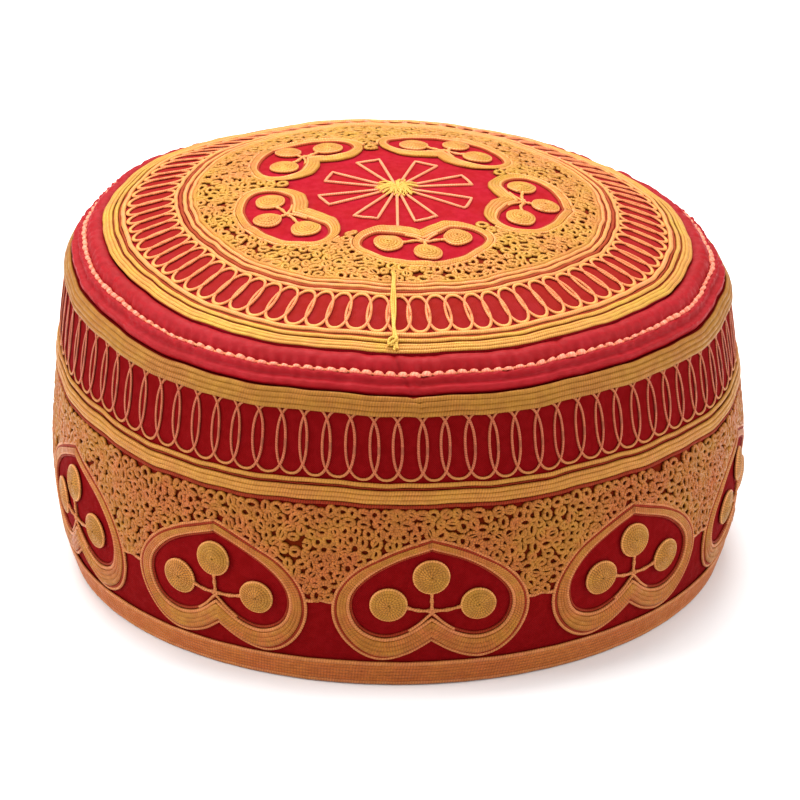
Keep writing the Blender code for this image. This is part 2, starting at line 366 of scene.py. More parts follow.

# The dark colour is painted shade in the grooves between a thread's plies and between woven threads, and
# the colour of dark specks
# Name: surface, dark colour, light colour, tint,
#       tint share, flush, roughness, metallic, gloss, sheen, pitch mm, bump mm
FINISHES = {
    "side_red": ("cloth", (0.105, 0.001, 0.001), (0.215, 0.002, 0.003), (0.15, 0.001, 0.003),
                 0.4, 0.0, 0.9, 0.0, 0.04, 0.02, 0.62, 0.10),
    "crown_red": ("cloth", (0.24, 0.003, 0.005), (0.385, 0.008, 0.014), (0.38, 0.004, 0.030),
                  0.4, 0.0, 0.85, 0.0, 0.08, 0.08, 0.62, 0.10),
    "seam_red": ("cloth", (0.20, 0.001, 0.002), (0.40, 0.003, 0.007), (0.36, 0.002, 0.012),
                 0.4, 0.0, 0.5, 0.0, 0.16, 0.03, 0.5, 0.08),
    "gold_side": ("thread", (0.205, 0.052, 0.006), (0.40, 0.106, 0.012), (0.33, 0.145, 0.007),
                  0.7, 0.25, 0.48, 0.2, 0.25, 0.02, 0.8, 0.08),
    "gold_band": ("thread", (0.28, 0.100, 0.012), (0.46, 0.172, 0.022), (0.41, 0.195, 0.016),
                  0.6, 0.1, 0.45, 0.2, 0.3, 0.03, 0.8, 0.07),
    # The band's gold, painted darker for the shoulder rows: painted shade on the shoulder band
    "shoulder_gold_painted_shade": ("thread", (0.21, 0.074, 0.008), (0.37, 0.130, 0.015), (0.33, 0.155, 0.010),
                      0.7, 0.05, 0.48, 0.2, 0.25, 0.02, 0.8, 0.07),
    "gold_crown": ("thread", (0.365, 0.130, 0.017), (0.575, 0.23, 0.039), (0.48, 0.27, 0.022),
                   0.7, 0.25, 0.42, 0.22, 0.32, 0.04, 0.8, 0.08),
    "gold_rim": ("thread", (0.42, 0.170, 0.024), (0.65, 0.30, 0.056), (0.54, 0.34, 0.030),
                 0.7, 0.15, 0.42, 0.22, 0.35, 0.05, 0.8, 0.08),
    "gold_hem": ("thread", (0.26, 0.060, 0.008), (0.41, 0.103, 0.015), (0.40, 0.127, 0.012),
                 0.4, 0.1, 0.5, 0.18, 0.25, 0.03, 0.9, 0.08),
    "edge_side": ("thread", (0.30, 0.080, 0.018), (0.50, 0.165, 0.040), (0.44, 0.17, 0.026),
                  0.4, 0.15, 0.48, 0.15, 0.3, 0.03, 0.8, 0.08),
    "edge_crown": ("thread", (0.55, 0.18, 0.045), (0.78, 0.32, 0.090), (0.70, 0.36, 0.06),
                   0.4, 0.2, 0.45, 0.2, 0.35, 0.05, 0.8, 0.08),
    "leaf_rim": ("thread", (0.36, 0.130, 0.026), (0.60, 0.235, 0.055), (0.52, 0.25, 0.04),
                 0.4, 0.15, 0.46, 0.18, 0.3, 0.04, 0.7, 0.08),
    "leaf_gold": ("thread", (0.155, 0.052, 0.004), (0.48, 0.17, 0.016), (0.30, 0.142, 0.006),
                  0.7, 0.0, 0.48, 0.2, 0.28, 0.03, 0.7, 0.08),
    "side_loop": ("thread", (0.27, 0.046, 0.019), (0.44, 0.100, 0.040), (0.39, 0.11, 0.026),
                  0.4, 0.0, 0.5, 0.15, 0.3, 0.05, 0.7, 0.08),
    "crown_loop": ("thread", (0.56, 0.135, 0.045), (0.77, 0.240, 0.085), (0.76, 0.27, 0.075),
                   0.4, 0.0, 0.45, 0.2, 0.35, 0.07, 0.7, 0.08),
    "star_pink": ("thread", (0.66, 0.17, 0.085), (0.86, 0.32, 0.15), (0.86, 0.38, 0.12),
                  0.4, 0.0, 0.5, 0.15, 0.35, 0.08, 0.7, 0.08),
    "stitch_pink": ("thread", (0.74, 0.17, 0.10), (0.94, 0.31, 0.20), (0.95, 0.36, 0.18),
                    0.4, 0.0, 0.45, 0.1, 0.35, 0.08, 0.7, 0.08),
    "stray_yellow": ("thread", (0.50, 0.27, 0.035), (0.70, 0.41, 0.075), (0.66, 0.44, 0.06),
                     0.4, 0.0, 0.45, 0.15, 0.35, 0.06, 0.7, 0.08),
    "dark_thread": ("thread", (0.130, 0.009, 0.0015), (0.26, 0.021, 0.003), (0.22, 0.030, 0.004),
                    0.4, 0.0, 0.7, 0.0, 0.12, 0.02, 0.7, 0.08),
    "brown_thread": ("thread", (0.23, 0.022, 0.005), (0.38, 0.052, 0.011), (0.35, 0.07, 0.012),
                     0.4, 0.0, 0.65, 0.0, 0.15, 0.03, 0.7, 0.08),
}
# Unevenness of the dye: name, scale of its noise, and the noise where it sets in and is full
DYE = (
    ("Tone", 75.0, 0.3, 0.7),
    ("Speck", 420.0, 0.35, 0.65),
    ("Flush", 240.0, 0.45, 0.7),
)
# Colour of the flushed spots over a thread's light colour, and how strongly specks darken it
FLUSH = (1.12, 0.78, 1.9)
SPECK_SHARE = 0.35
SHEEN_ROUGHNESS = 0.45
BUMP_STRENGTH = 0.7
# Where a finish changes with its place: name of the marked share, and the colour there
PLACED = {
    # in_shade paints shade into the cloth's colour: under the filling, where its holes show the ground, and
    # between the crown's loops
    "side_red": ("in_shade", (0.115, 0.010, 0.001)),
    "crown_red": ("in_shade", (0.18, 0.016, 0.003)),
    "side_loop": ("foot", (0.40, 0.145, 0.028)),
    "crown_loop": ("foot", (0.70, 0.31, 0.070)),
}

# Soft lights: name, place, size in m, watts
LIGHTS = (
    ("overhead", (-0.1, 0.4, 1.2), 1.0, 24.0),
    ("left", (-1.35, -0.3, 0.75), 0.9, 20.0),
    ("right", (1.35, -0.25, 0.7), 0.9, 13.0),
    ("front", (0.2, -1.7, 1.1), 1.0, 6.5),
)
LIT_HEIGHT = 0.05
DAYLIGHT = 0.52
FLOOR_HALF = 3.0
FLOOR_TONE = 0.9

# Camera, as the photo was taken; the frame is a square cut round the cap
CAMERA_ELEVATION = 24.42
CAMERA_DISTANCE = 1.656
AIM_HEIGHT = 0.0607
METRES_PER_PIXEL = 0.5406 * MM
AIM_PIXEL = (422.9, 293.6)
FRAME_MIDDLE = (424.0, 320.0)
FRAME_PIXELS = 430.0
SENSOR = 36.0


# The cap's shape
def smooth_line(points, steps):
    """A line through the points that passes each one in the direction of its neighbours."""
    points = [Vector((*point, 0.0)) for point in points]
    last = len(points) - 1
    line = []
    for index in range(last):
        start, end = points[index], points[index + 1]
        reach = (end - start).length / 3
        leave = (end - points[max(index - 1, 0)]).normalized()
        arrive = (points[min(index + 2, last)] - start).normalized()
        line += interpolate_bezier(start, start + leave * reach, end - arrive * reach, end, steps)[:-1]
    line.append(points[last])
    return np.array([(point.x, point.y) for point in line])


def run_along(line):
    """Distance along a line to each of its points."""
    return np.concatenate(([0.0], np.cumsum(np.hypot(*np.diff(line, axis=0).T))))


CLOTH = smooth_line([(radius * MM, height * MM) for _, radius, height in OUTLINE], SMOOTHING)
DISTANCE = run_along(CLOTH)
CLOTH_LENGTH = DISTANCE[-1]
ON_TOP = CLOTH[:, 1] > SHOULDER_HEIGHT
CROWN_SIDE = np.column_stack((CLOTH[ON_TOP, 0], DISTANCE[ON_TOP]))


def cloth_section(along, proud):
    """Radii and heights of places on the cloth's section."""
    along = np.asarray(along, float)
    low = np.clip(along - MM, 0.0, CLOTH_LENGTH)
    high = np.clip(along + MM, 0.0, CLOTH_LENGTH)
    run, rise = (np.interp(high, DISTANCE, side) - np.interp(low, DISTANCE, side) for side in CLOTH.T)
    slope = np.hypot(run, rise)
    radius, height = (np.interp(along, DISTANCE, side) for side in CLOTH.T)
    return radius + proud * rise / slope, height - proud * run / slope


def ease(amount):
    amount = np.clip(amount, 0.0, 1.0)
    return amount * amount * (3.0 - 2.0 * amount)


def hump(gap, width):
    return np.exp(-((gap / width) ** 2))


def round_places(azimuth, along, proud):
    radius, height = cloth_section(along, proud)
    return np.stack([radius * np.sin(azimuth), -radius * np.cos(azimuth), height + 0.0 * azimuth], -1)


def settle(points):
    """Moves places on the true round to where the sewn cap has them."""
    azimuth = np.arctan2(points[:, 0], -points[:, 1])
    radius = np.hypot(points[:, 0], points[:, 1])
    weight = ease(points[:, 2] / SHOULDER_HEIGHT) * np.minimum(radius / RIM_RADIUS, 1.0) ** 1.5
    lift = LIFT_BACK * (1.0 - np.cos(azimuth)) + LIFT_TWIST * np.sin(2.0 * azimuth)
    lift -= LIFT_LEFT * np.sin(azimuth)
    moved = points * (WIDE, DEEP, 1.0) + (*RECENTRE, 0.0)
    moved[:, 2] += weight * lift
    grip = ease(points[:, 2] / FLAT_FOOT)
    for _, turn, along, depth, reach in DENTS:
        middle, outside = (
            round_places(np.array([math.radians(turn)]), along * MM, proud)[0] for proud in (0.0, MM)
        )
        outwards = (outside - middle) / np.linalg.norm(outside - middle)
        nearness = hump(np.linalg.norm(points - middle, axis=1), reach * MM)
        moved -= outwards * (depth * MM * nearness * grip)[:, None]
    return moved


def laid(azimuth, along, proud):
    """Where places on the pattern lie on the finished cap, with its hand-made unevenness."""
    azimuth = np.asarray(azimuth, float)
    along, proud = (np.asarray(value, float) + 0.0 * azimuth for value in (along, proud))
    freedom = ease(along / FREE_OVER_HEM) * ease((CLOTH_LENGTH - along) / FREE_FROM_MIDDLE)
    for _, waves, phase, drift, swell in UNEVEN:
        turned = waves * azimuth + math.radians(phase)
        proud = proud + swell * MM * np.sin(turned + along / UNEVEN_WAVE) * freedom
        along = along + drift * MM * np.sin(turned) * freedom
    return settle(round_places(azimuth, along, proud))


# Ways of laying a flat drawing (across, up, height over the cloth) on the cap
def lay_round(flat):
    """Across is azimuth times the belly's radius; up is the distance along the cloth."""
    return laid(flat[:, 0] / BELLY_RADIUS, flat[:, 1], flat[:, 2])


def lay_crown(flat):
    """A plan drawing, seen from above, falls straight down on the crown."""
    azimuth = np.arctan2(flat[:, 0], -flat[:, 1])
    from_middle = np.hypot(flat[:, 0], flat[:, 1])
    along = np.interp(-from_middle, -CROWN_SIDE[:, 0], CROWN_SIDE[:, 1])
    return laid(azimuth, along, flat[:, 2])


def heart_turn(kind, number):
    return math.radians(HEARTS[kind]["azimuth"]) + number * TURN / HEARTS[kind]["count"]


def crown_axes(turn):
    """Directions across and outwards at an azimuth on the crown's plan."""
    return np.stack((-np.cos(turn), -np.sin(turn)), -1), np.stack((np.sin(turn), -np.cos(turn)), -1)


def side_on_band(number, line):
    """A line drawn on one side heart, as flat places round the cap."""
    cleft = HEARTS["side"]["cleft"]
    stretch = BELLY_RADIUS / cloth_section(cleft * MM, 0.0)[0]
    return line * (stretch, 1.0) + (heart_turn("side", number) * BELLY_RADIUS / MM, cleft)


def crown_on_plan(number, line):
    """A line drawn on one crown heart, as plan places."""
    across, outwards = crown_axes(heart_turn("crown", number))
    return line[:, :1] * across + (line[:, 1:] + HEARTS["crown"]["cleft"]) * outwards


PLACES = {"side": side_on_band, "crown": crown_on_plan}
LAYS = {"side": lay_round, "crown": lay_crown}


def lay_heart(kind, number):
    """Lays one heart's own drawing by way of the drawing of the whole band or crown."""
    def lay(flat):
        return LAYS[kind](np.column_stack((PLACES[kind](number, flat[:, :2] / MM) * MM, flat[:, 2])))
    return lay


# Shader groups and finishes
def calculate(tree, operation, *values):
    node = tree.nodes.new("ShaderNodeMath")
    node.operation = operation
    for socket, value in zip(node.inputs, values):
        connect(tree, socket, value)
    return node.outputs[0]


def connect(tree, socket, value):
    """Links a socket to another, or sets its value."""
    if isinstance(value, bpy.types.NodeSocket):
        tree.links.new(value, socket)
    else:
        socket.default_value = value


def make_group(name, inputs, outputs):
    group = bpy.data.node_groups.new(name, "ShaderNodeTree")
    for title, value in inputs:
        socket = group.interface.new_socket(title, in_out="INPUT", socket_type="NodeSocketFloat")
        socket.default_value = value
    for title in outputs:
        group.interface.new_socket(title, in_out="OUTPUT", socket_type="NodeSocketFloat")
    return group, group.nodes.new("NodeGroupInput"), group.nodes.new("NodeGroupOutput")


def noise(tree, vector, scale, detail, roughness=0.55):
    node = tree.nodes.new("ShaderNodeTexNoise")
    sockets = (("Vector", vector), ("Scale", scale), ("Detail", detail), ("Roughness", roughness))
    for title, value in sockets:
        connect(tree, node.inputs[title], value)
    return node.outputs["Fac"]


def spread(tree, value, low, high, new_low=0.0, new_high=1.0):
    node = tree.nodes.new("ShaderNodeMapRange")
    node.interpolation_type = "SMOOTHSTEP"
    titles = ("Value", "From Min", "From Max", "To Min", "To Max")
    for title, number in zip(titles, (value, low, high, new_low, new_high)):
        connect(tree, node.inputs[title], number)
    return node.outputs["Result"]


def plies(group, split, pitch):
    """Plies that wind round a thread, whose UV map is metres along it and turns round it."""
    turns = calculate(group, "DIVIDE", split.outputs["X"], pitch)
    winding = calculate(group, "ADD", turns, split.outputs["Y"])
    return spread(group, calculate(group, "SINE", calculate(group, "MULTIPLY", winding, TURN)), -1.0, 0.6)


def weave(group, split, pitch):
    """Plain weave, whose UV map is metres across the cloth."""
    waves = []
    for axis in ("X", "Y"):
        turns = calculate(group, "DIVIDE", split.outputs[axis], pitch)
        waves.append(calculate(group, "SINE", calculate(group, "MULTIPLY", turns, TURN)))
    return spread(group, calculate(group, "MULTIPLY", *waves), -1.0, 1.0)


def surface_group(name, fibre, fineness, detail, pattern):
    """Relief and shade of a pattern, with fine fibres over it."""
    group, given, result = make_group(name, [("Pitch", MM)], ["Height", "Shade"])
    place = group.nodes.new("ShaderNodeTexCoord")
    split = group.nodes.new("ShaderNodeSeparateXYZ")
    group.links.new(place.outputs["UV"], split.inputs[0])
    shade = pattern(group, split, given.outputs["Pitch"])
    fine = noise(group, place.outputs["Object"], fineness, detail)
    fibres = calculate(group, "MULTIPLY", fine, fibre)
    group.links.new(calculate(group, "ADD", shade, fibres), result.inputs["Height"])
    group.links.new(shade, result.inputs["Shade"])
    return group


def uneven_dye_group():
    """Soft blotches, and small ones, in how the dye took and how the nap lies."""
    group, _, result = make_group("uneven dye", [], [kind[0] for kind in DYE])
    place = group.nodes.new("ShaderNodeTexCoord")
    for title, scale, low, high in DYE:
        cloud = noise(group, place.outputs["Object"], scale, 3.0, 0.5)
        group.links.new(spread(group, cloud, low, high), result.inputs[title])
    return group


GROUPS = {
    "thread": surface_group("twisted thread", 0.5, 5200.0, 2.0, plies),
    "cloth": surface_group("woven cloth", 0.6, 2600.0, 3.0, weave),
    "dye": uneven_dye_group(),
}


def mix_colours(tree, share, first, second):
    node = tree.nodes.new("ShaderNodeMix")
    node.data_type = "RGBA"
    first, second = (value if isinstance(value, bpy.types.NodeSocket) else (*value, 1.0)
                     for value in (first, second))
    for number, value in ((0, share), (6, first), (7, second)):
        connect(tree, node.inputs[number], value)
    return node.outputs[2]


def make_finish(name):
    (surface, dark, light, tint, tint_share, flush,
     roughness, metallic, gloss, sheen, pitch, relief) = FINISHES[name]
    material = bpy.data.materials.new(name)
    material.use_nodes = True
    tree = material.node_tree
    shader = tree.nodes["Principled BSDF"]
    plain = (("Metallic", metallic), ("Specular IOR Level", gloss), ("Sheen Weight", sheen),
             ("Sheen Roughness", SHEEN_ROUGHNESS), ("Sheen Tint", (*light, 1.0)))
    for title, value in plain:
        shader.inputs[title].default_value = value
    pattern, dye = (tree.nodes.new("ShaderNodeGroup") for _ in range(2))
    pattern.node_tree = GROUPS[surface]
    pattern.inputs["Pitch"].default_value = pitch * MM
    dye.node_tree = GROUPS["dye"]
    # Painted shade: the pattern's low grooves take the dark colour, its raised parts the light one
    body = mix_colours(tree, pattern.outputs["Shade"], dark, light)
    body = mix_colours(tree, calculate(tree, "MULTIPLY", dye.outputs["Tone"], tint_share), body, tint)
    body = mix_colours(tree, calculate(tree, "MULTIPLY", dye.outputs["Speck"], SPECK_SHARE), body, dark)
    if flush:
        flushed = tuple(min(side * change, 1.0) for side, change in zip(light, FLUSH))
        body = mix_colours(tree, calculate(tree, "MULTIPLY", dye.outputs["Flush"], flush), body, flushed)
    # A marked share mixes in the colour there; for in_shade that colour is painted shade on the cloth
    if name in PLACED:
        share, there = PLACED[name]
        marked = tree.nodes.new("ShaderNodeAttribute")
        marked.attribute_name = share
        body = mix_colours(tree, marked.outputs["Fac"], body, there)
    tree.links.new(body, shader.inputs["Base Color"])
    rough = spread(tree, dye.outputs["Speck"], 0.0, 1.0, roughness - 0.06, roughness + 0.08)
    tree.links.new(rough, shader.inputs["Roughness"])
    bump = tree.nodes.new("ShaderNodeBump")
    bump.inputs["Strength"].default_value = BUMP_STRENGTH
    bump.inputs["Distance"].default_value = relief * MM
    tree.links.new(pattern.outputs["Height"], bump.inputs["Height"])
    tree.links.new(bump.outputs["Normal"], shader.inputs["Normal"])
    return material


FINISH = {name: make_finish(name) for name in FINISHES}


# Geometry node trees
def make_tree(name, inputs):
    """A geometry tree with a geometry input and output and the named inputs."""
    tree = bpy.data.node_groups.new(name, "GeometryNodeTree")
    tree.interface.new_socket("Geometry", in_out="INPUT", socket_type="NodeSocketGeometry")
    for title, kind in inputs.items():
        tree.interface.new_socket(title, in_out="INPUT", socket_type="NodeSocket" + kind)
    tree.interface.new_socket("Geometry", in_out="OUTPUT", socket_type="NodeSocketGeometry")
    return tree, tree.nodes.new("NodeGroupInput"), tree.nodes.new("NodeGroupOutput")


def add_node(tree, kind, settings=None, **inputs):
    """A node with its settings, and its inputs linked or set by name."""
    node = tree.nodes.new(kind)
    for title, value in (settings or {}).items():
        setattr(node, title, value)
    for title, value in inputs.items():
        socket = next(item for item in node.inputs if item.name == title.replace("_", " ") and item.enabled)
        connect(tree, socket, value)
    return node


def combine(tree, **sides):
    return add_node(tree, "ShaderNodeCombineXYZ", **sides).outputs[0]


def split_position(tree):
    place = add_node(tree, "GeometryNodeInputPosition")
    return add_node(tree, "ShaderNodeSeparateXYZ", Vector=place.outputs[0])


def mark(tree, geometry, name, value, kind="FLOAT", domain="POINT"):
    """Stores a named value on the geometry."""
    node = add_node(tree, "GeometryNodeStoreNamedAttribute", {"data_type": kind, "domain": domain},
                    Geometry=geometry, Name=name, Value=value)
    return node.outputs[0]


def marked_value(tree, name):
    node = add_node(tree, "GeometryNodeInputNamedAttribute", {"data_type": "FLOAT"}, Name=name)
    return node.outputs["Attribute"]


def add_thread(tree, curve, given):
    """Wraps a thread round curves that lie flat, with its length and its turns as its UV map."""
    girth, rise, sides = (given.outputs[name] for name in ("Girth", "Rise", "Sides"))
    upright = add_node(tree, "GeometryNodeSetCurveNormal", {"mode": "Z_UP"}, Curve=curve)
    measured = add_node(tree, "GeometryNodeSplineParameter")
    path = mark(tree, upright.outputs[0], "run", measured.outputs["Length"])
    size = calculate(tree, "MULTIPLY", marked_value(tree, "girth"), girth)
    ring = add_node(tree, "GeometryNodeCurvePrimitiveCircle", {"mode": "RADIUS"},
                    Resolution=sides, Radius=0.5)
    turned = add_node(tree, "GeometryNodeSplineParameter")
    marked_ring = mark(tree, ring.outputs[0], "round", turned.outputs["Factor"])
    flat_ring = add_node(tree, "GeometryNodeTransform", Geometry=marked_ring,
                         Scale=combine(tree, X=rise, Y=1.0, Z=1.0), Rotation=(0.0, 0.0, math.pi / 2))
    body = add_node(tree, "GeometryNodeCurveToMesh", Curve=path, Profile_Curve=flat_ring.outputs[0],
                    Scale=size, Fill_Caps=True)
    place = combine(tree, X=marked_value(tree, "run"), Y=marked_value(tree, "round"))
    mapped = mark(tree, body.outputs[0], "UVMap", place, "FLOAT2", "CORNER")
    return add_node(tree, "GeometryNodeSetShadeSmooth", Geometry=mapped).outputs[0]


def finish_tree(tree, geometry, given, result):
    whole = add_node(tree, "GeometryNodeRealizeInstances", Geometry=geometry)
    dressed = add_node(tree, "GeometryNodeSetMaterial", Geometry=whole.outputs[0],
                       Material=given.outputs["Material"])
    tree.links.new(dressed.outputs[0], result.inputs[0])
    return tree


THREAD_INPUTS = {"Girth": "Float", "Rise": "Float", "Sides": "Int", "Material": "Material"}
LOOP_INPUTS = {
    "Count": "Int", "Pitch": "Float", "Width": "Float", "Height": "Float", "Points": "Int",
    "Lean": "Float", "Ovalness": "Float", "Variation": "Float", "Layer": "Float", "Seed": "Int",
    **THREAD_INPUTS,
}


def couched_thread_tree():
    """A thread along every edge path of the mesh that it is given."""
    tree, given, result = make_tree("couched thread", THREAD_INPUTS)
    path = add_node(tree, "GeometryNodeMeshToCurve", Mesh=given.outputs["Geometry"])
    return finish_tree(tree, add_thread(tree, path.outputs[0], given), given, result)


def loop_ring_tree():
    """Long overlapping loops, side by side along a line, each a little unlike the next."""
    tree, given, result = make_tree("loop ring", LOOP_INPUTS)
    line = add_node(tree, "GeometryNodeMeshLine", Count=given.outputs["Count"],
                    Offset=combine(tree, X=given.outputs["Pitch"]))
    shape = add_node(tree, "GeometryNodeCurvePrimitiveCircle", {"mode": "RADIUS"},
                     Resolution=given.outputs["Points"], Radius=0.5)
    size = combine(tree, X=given.outputs["Width"], Y=given.outputs["Height"], Z=1.0)
    long_loop = add_node(tree, "GeometryNodeTransform", Scale=size,
                         Geometry=fill_out(tree, shape.outputs[0], given.outputs["Ovalness"]))
    turn = combine(tree, Z=random_number(tree, given, "Lean", 0))
    grown = calculate(tree, "ADD", 1.0, random_number(tree, given, "Variation", 1))
    placed = add_node(tree, "GeometryNodeInstanceOnPoints", Points=line.outputs[0],
                      Instance=long_loop.outputs[0], Rotation=turn,
                      Scale=combine(tree, X=grown, Y=1.0, Z=1.0))
    whole = add_node(tree, "GeometryNodeRealizeInstances", Geometry=placed.outputs[0])
    sized = mark(tree, lean_over(tree, whole.outputs[0], given), "girth", 1.0)
    return finish_tree(tree, add_thread(tree, sized, given), given, result)


def fill_out(tree, circle, power):
    """Fills a circle out towards a square with round corners, and marks its two ends as feet."""
    split = split_position(tree)
    sides = []
    for name in ("X", "Y"):
        far = calculate(tree, "MULTIPLY", calculate(tree, "ABSOLUTE", split.outputs[name]), 2.0)
        fuller = calculate(tree, "MULTIPLY", calculate(tree, "POWER", far, power), 0.5)
        sides.append(calculate(tree, "MULTIPLY", fuller, calculate(tree, "SIGN", split.outputs[name])))
    marked = mark(tree, circle, "foot", calculate(tree, "POWER", far, 7.0))
    moved = combine(tree, X=sides[0], Y=sides[1])
    return add_node(tree, "GeometryNodeSetPosition", Geometry=marked, Position=moved).outputs[0]


def random_number(tree, given, limit, salt):
    """A number from minus to plus the named limit, unlike for each point."""
    chance = add_node(tree, "FunctionNodeRandomValue", {"data_type": "FLOAT"},
                      Min=calculate(tree, "MULTIPLY", given.outputs[limit], -1.0), Max=given.outputs[limit],
                      Seed=calculate(tree, "ADD", given.outputs["Seed"], salt))
    return next(item for item in chance.outputs if item.enabled)


def lean_over(tree, geometry, given):
    """Lifts each loop's leading side over the one before, so that the threads cross cleanly."""
    pitches = calculate(tree, "DIVIDE", split_position(tree).outputs["X"], given.outputs["Pitch"])
    index = add_node(tree, "GeometryNodeInputIndex").outputs[0]
    number = calculate(tree, "FLOOR", calculate(tree, "DIVIDE", index, given.outputs["Points"]))
    rise = calculate(tree, "MULTIPLY", calculate(tree, "SUBTRACT", pitches, number), given.outputs["Layer"])
    lifted = add_node(tree, "GeometryNodeSetPosition", Geometry=geometry, Offset=combine(tree, Z=rise))
    return lifted.outputs[0]


TREES = {"thread": couched_thread_tree(), "loops": loop_ring_tree()}


# Making and dressing pieces
def grow(name, mesh, tree, settings):
    """Runs a geometry tree on a mesh with the named settings, and returns the plain mesh it makes."""
    seed = bpy.data.objects.new(name + "_path", mesh)
    bpy.context.scene.collection.objects.link(seed)
    modifier = seed.modifiers.new("grow", "NODES")
    modifier.node_group = tree
    for item in tree.interface.items_tree:
        if item.in_out == "INPUT" and item.name in settings:
            modifier[item.identifier] = settings[item.name]
    view = bpy.context.evaluated_depsgraph_get()
    grown = bpy.data.meshes.new_from_object(seed.evaluated_get(view))
    bpy.data.objects.remove(seed, do_unlink=True)
    return grown


def dress(name, mesh, lay, nodes=()):
    """Lays a flat mesh on the cap and hands it over as a finished piece."""
    if lay:
        flat = np.empty(len(mesh.vertices) * 3)
        mesh.vertices.foreach_get("co", flat)
        mesh.vertices.foreach_set("co", lay(flat.reshape(-1, 3)).ravel())
        mesh.update()
    mesh.name = name
    piece = bpy.data.objects.new(name, mesh)
    bpy.context.scene.collection.objects.link(piece)
    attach(piece, "root")
    if nodes:
        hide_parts(*nodes)
    return piece


def path_mesh(name, paths):
    """Edge paths for threads, in mm; each is its points, whether it closes, and its girth."""
    points, edges, girths = [], [], []
    for line, closed, girth in paths:
        first, count = len(points), len(line)
        points += [tuple(point) for point in np.asarray(line) * MM]
        edges += [(first + index, first + index + 1) for index in range(count - 1)]
        if closed:
            edges.append((first + count - 1, first))
        girths += list(np.broadcast_to(girth, count))
    mesh = bpy.data.meshes.new(name)
    mesh.from_pydata(points, edges, [])
    mesh.attributes.new("girth", "FLOAT", "POINT").data.foreach_set("value", np.array(girths, np.float32))
    return mesh


def thread_piece(name, paths, lay, finish, nodes=(), sides=6, rise=0.9):
    """A piece made of threads along paths in mm."""
    settings = {"Girth": MM, "Rise": rise, "Sides": sides, "Material": FINISH[finish]}
    return dress(name, grow(name, path_mesh(name, paths), TREES["thread"], settings), lay, nodes)


def flat_path(line, over, girth, closed=False):
    """A thread's path at one height, or at given heights, over the cloth."""
    return np.column_stack((line, np.broadcast_to(over, len(line)))), closed, girth


# Cloth
def grid_mesh(name, places, textures):
    """A closed skin from rows of places round the cap; rows and columns close on themselves."""
    rows, columns = places.shape[:2]
    faces, corners = [], []
    for low in range(rows):
        high = (low + 1) % rows
        for column in range(columns):
            after = (column + 1) % columns
            faces.append((low * columns + column, low * columns + after,
                          high * columns + after, high * columns + column))
            corners += [textures[low, column], textures[low, column + 1],
                        textures[high, column + 1], textures[high, column]]
    mesh = bpy.data.meshes.new(name)
    mesh.from_pydata(places.reshape(-1, 3).tolist(), [], faces)
    layer = mesh.uv_layers.new(name="UVMap")
    layer.data.foreach_set("uv", np.array(corners, np.float32).ravel())
    mesh.shade_smooth()
    return mesh


def close_poles(mesh):
    shape = bmesh.new()
    shape.from_mesh(mesh)
    bmesh.ops.remove_doubles(shape, verts=shape.verts, dist=WELD)
    bmesh.ops.recalc_face_normals(shape, faces=shape.faces)
    shape.to_mesh(mesh)
    shape.free()


def ring_piece(name, section, columns, finish, nodes, plan=False, relief=None, shade=None):
    """A closed ring round the cap from a section of (along, proud) places in metres."""
    along, proud = np.array(section).T
    azimuth = np.linspace(0.0, TURN, columns + 1)
    rows = len(along)
    turn = np.tile(azimuth[:-1], rows)
    place_along = np.repeat(along, columns)
    place_proud = np.repeat(proud, columns)
    if relief:
        place_proud = relief(turn, place_along, place_proud)
    places = laid(turn, place_along, place_proud).reshape(rows, columns, 3)
    if plan:
        radius = cloth_section(along, 0.0)[0][:, None]
        textures = np.stack([radius * np.sin(azimuth), -radius * np.cos(azimuth)], -1)
    else:
        run = run_along(np.column_stack((along, proud)))
        textures = np.stack(np.broadcast_arrays(azimuth * BELLY_RADIUS, run[:, None]), -1)
    mesh = grid_mesh(name, places, textures)
    # The in_shade share: painted shade that darkens the cloth's colour
    if shade is not None:
        marked = mesh.attributes.new("in_shade", "FLOAT", "POINT")
        marked.data.foreach_set("value", shade.astype(np.float32))
    close_poles(mesh)
    mesh.materials.append(FINISH[finish])
    return dress(name, mesh, None, nodes)


def wall_section(low, high, rows, inner_rows):
    """Outer face from the low to the high place along the cloth, and the inner face back."""
    out = np.linspace(low, high, rows) * MM
    back = np.linspace(high, low, inner_rows) * MM
    return [(place, 0.0) for place in out] + [(place, -WALL) for place in back]


def shade_under_filling(section, columns, room):
    """How much painted shade, under the filling and between the crown's loops, goes into the colour of each
    place of a wall.
    """
    along, proud = np.array(section).T
    azimuth = np.linspace(0.0, TURN, columns + 1)[:-1]
    turn, place = (grid.ravel() for grid in np.meshgrid(azimuth, along))
    shade = np.clip(room(turn, place), 0.0, 1.0)
    low, high, share = LOOP_SHADE
    shade = np.maximum(shade, share * ((place > low * MM) & (place < high * MM)))
    return shade * np.repeat(proud > -WALL / 2, columns)


def make_walls():
    def side_depth(turn, along):
        return side_room(np.column_stack((turn * BELLY_RADIUS / MM, along / MM)))

    def crown_depth(turn, along):
        radius = cloth_section(along, 0.0)[0] / MM
        return crown_room(np.column_stack((radius * np.sin(turn), -radius * np.cos(turn))))
    section = wall_section(SIDE_LOW, SIDE_HIGH, SIDE_ROWS, INSIDE_ROWS)
    side = ring_piece("side_cloth", section, SIDE_COLUMNS, "side_red", ["side_band"],
                      shade=shade_under_filling(section, SIDE_COLUMNS, side_depth))
    section = wall_section(CROWN_LOW, CLOTH_LENGTH / MM - POLE_GAP, CROWN_ROWS, INSIDE_ROWS)
    crown = ring_piece("crown_cloth", section, CROWN_COLUMNS, "crown_red", ["crown"],
                       plan=True, shade=shade_under_filling(section, CROWN_COLUMNS, crown_depth))


def front_crease(along):
    azimuth, change = FRONT_CREASE
    return np.radians(azimuth + change * (along - SEAM_LINE))


def turn_gap(turn, middle):
    return (turn - middle + math.pi) % TURN - math.pi


